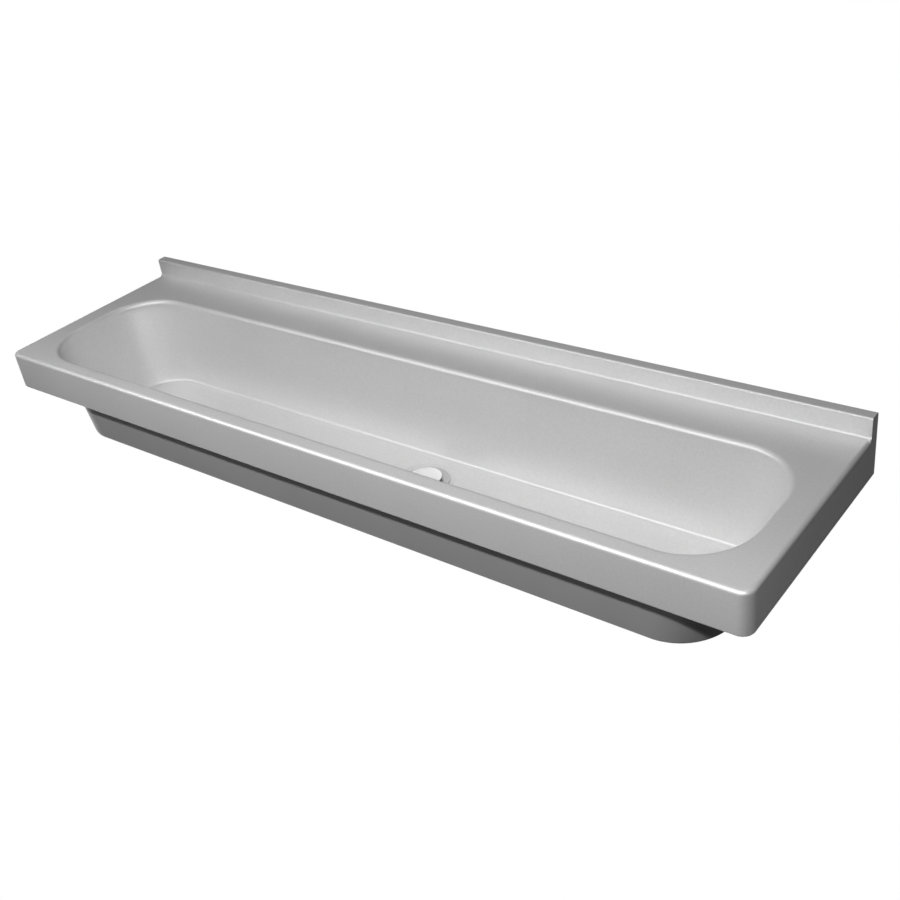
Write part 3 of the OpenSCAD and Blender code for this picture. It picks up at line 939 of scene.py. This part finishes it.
# Pieces that keep their CAD shape: name, node, body, slot, material, and how far their edges are broken
KEPT_SHAPES = [
    ("wall_bracket_left", "bracket_left", "trough", "zinc_steel", ZINC, 0.5 * MM),
    ("wall_bracket_right", "bracket_right", "trough", "zinc_steel", ZINC, 0.5 * MM),
    ("hat_channel", "ledge_channel", "trough", "satin_steel", WELDED, 0.25 * MM),
    ("fixing_nuts", "stud_nuts", "trough", "zinc_steel", ZINC, 0.35 * MM),
    ("fixing_washers", "stud_washers", "trough", "zinc_steel", ZINC, 0.2 * MM),
    ("deadening_pads", "sound_pads", "trough", "bitumen_pad", BITUMEN, 0.5 * MM),
    ("earthing_tag", "earth_tag", "trough", "satin_steel", MILL, 0.25 * MM),
    ("earthing_screw", "earth_screw", "trough", "zinc_steel", ZINC, 0.25 * MM),
    ("earthing_washers", "earth_washers", "trough", "zinc_steel", ZINC, 0.2 * MM),
    ("earthing_nut", "earth_nut", "trough", "zinc_steel", ZINC, 0.35 * MM),
    ("hex_back_nut", "back_nut", "trough", "polished_chrome", CHROME, 1.0 * MM),
    ("bowl_gasket", "lower_gasket", "trough", "black_rubber", RUBBER, 0.4 * MM),
    ("nylon_washer", "slip_washer", "trough", "white_nylon", NYLON, 0.3 * MM),
    ("cartridge_body", "push_cartridge", "trough", "turned_brass", BRASS, 0.3 * MM),
    ("plug_ring", "plug_seal", "plug", "black_rubber", RUBBER, 0.3 * MM),
    ("plug_spindle", "plug_stem", "plug", "turned_brass", BRASS, 0.2 * MM),
]
# The brackets' plates are bent from one sheet, and the back nut's edges are well rounded
OTHERWISE = {
    "bracket_left": {"fold": bracket_fold},
    "bracket_right": {"fold": bracket_fold},
    "back_nut": {"segments": 3},
}
for name, node, body, slot, finish, width in KEPT_SHAPES:
    fitted(softened(name, node, width, finish, **OTHERWISE.get(node, {})), node, body)

# The seal under the flange is the CAD shape itself
flange_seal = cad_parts["flange_seal"]
flange_seal.data.materials.clear()
flange_seal.data.materials.append(RUBBER)


# ---------------------------------------------------------------- stage, light and camera

# Soft panels round the room: azimuth from the wall clockwise, elevation, both in degrees, and strength
PANELS = [
    (240, 68, 0.52), (60, 20, 0.27), (0, 60, 0.09), (330, 45, 0.10), (180, -32, 0.12),
    (300, -32, 1.5), (315, -62, 0.2),
]
# Degrees from a panel's middle to its end, and the glow of the room between the panels
PANEL_REACH = 46
ROOM_GLOW = 0.01
# Degrees that the tube lamps stand above the front edge
KEY_RISE = 50

FLOOR_DROP = 0.9
FLOOR_SIZE = 30

# The photograph's viewpoint, fitted to the trough's straight edges: place, then yaw, pitch and roll
VIEWPOINT = Vector((1.2109, -1.3945, 0.9393))
VIEW_ANGLES = (-41.877, 31.678, -8.554)
FILM_WIDTH = 36
FOCAL_LENGTH = 46.893
FARTHEST = 100


def studio():
    """A room of soft light, white where the camera sees it."""
    world = bpy.data.worlds.new("studio")
    bpy.context.scene.world = world
    world.use_nodes = True
    g = Graph(world.node_tree)
    direction = g.add("ShaderNodeTexCoord", output="Generated")
    total = ROOM_GLOW
    for azimuth, elevation, strength in PANELS:
        a, e = math.radians(azimuth), math.radians(elevation)
        axis = (math.sin(a) * math.cos(e), math.cos(a) * math.cos(e), math.sin(e))
        facing = g.add("ShaderNodeVectorMath", {0: direction, 1: axis}, "Value", operation="DOT_PRODUCT")
        total = facing.smooth(math.cos(math.radians(PANEL_REACH)), 1) * strength + total
    glow = g.add("ShaderNodeBackground", {"Color": grey(1), "Strength": total})
    plain = g.add("ShaderNodeBackground", {"Color": grey(1), "Strength": 1.0})
    seen = g.add("ShaderNodeLightPath", output="Is Camera Ray")
    g.end(g.add("ShaderNodeMixShader", {0: seen, 1: glow, 2: plain}), "ShaderNodeOutputWorld")


def tube_lamp(name, middle_x, away, length, width, glow):
    """A long narrow lamp in front of the trough's front edge, KEY_RISE above it and facing it."""
    rise = math.radians(KEY_RISE)
    outwards = Vector((0, -math.cos(rise), math.sin(rise)))
    along = Vector((1, 0, 0))
    lamp = linked(name, bpy.data.lights.new(name, "AREA"))
    lamp.data.shape = "RECTANGLE"
    lamp.data.size = length
    lamp.data.size_y = width
    lamp.data.energy = math.pi * length * width * glow
    lamp.visible_camera = False
    place = Vector((middle_x, FRONT, (DECK + FOOT) / 2)) + outwards * away
    lamp.matrix_world = (Matrix.Translation(place)
                         @ Matrix((along, outwards.cross(along), outwards)).transposed().to_4x4())


def pale_floor():
    """A plain pale floor, well below the trough, seen from above only."""
    size, z = FLOOR_SIZE, DECK - FLOOR_DROP
    floor = new_object("floor", [(-size, -size, z), (size, -size, z), (size, size, z), (-size, size, z)],
                       [(0, 1, 2, 3)])
    made, g = material("pale_floor")
    light = g.add("ShaderNodeEmission", {"Color": grey(1), "Strength": 1.0})
    clear = g.add("ShaderNodeBsdfTransparent")
    below = g.add("ShaderNodeNewGeometry", output="Backfacing")
    g.end(g.add("ShaderNodeMixShader", {0: below, 1: light, 2: clear}))
    floor.data.materials.append(made)
    floor.visible_glossy = False
    floor.visible_diffuse = False
    floor.visible_shadow = False


def photo_camera():
    yaw, pitch, roll = (math.radians(a) for a in VIEW_ANGLES)
    forward = Vector((math.sin(yaw) * math.cos(pitch), math.cos(yaw) * math.cos(pitch), -math.sin(pitch)))
    level = Vector((math.cos(yaw), -math.sin(yaw), 0))
    above = level.cross(forward)
    right = math.cos(roll) * level + math.sin(roll) * above
    up = -math.sin(roll) * level + math.cos(roll) * above
    camera = linked("camera", bpy.data.cameras.new("camera"))
    camera.matrix_world = (Matrix.Translation(VIEWPOINT)
                           @ Matrix((right, up, -forward)).transposed().to_4x4())
    camera.data.sensor_width = FILM_WIDTH
    camera.data.lens = FOCAL_LENGTH
    camera.data.clip_end = FARTHEST
    bpy.context.scene.camera = camera


studio()
tube_lamp("near_tube", middle_x=0.1, away=0.6, length=2.1, width=0.024, glow=53)
tube_lamp("far_tube", middle_x=1.2, away=2.2, length=0.6, width=0.088, glow=56)
pale_floor()
photo_camera()
bpy.context.scene.view_settings.view_transform = "Standard"
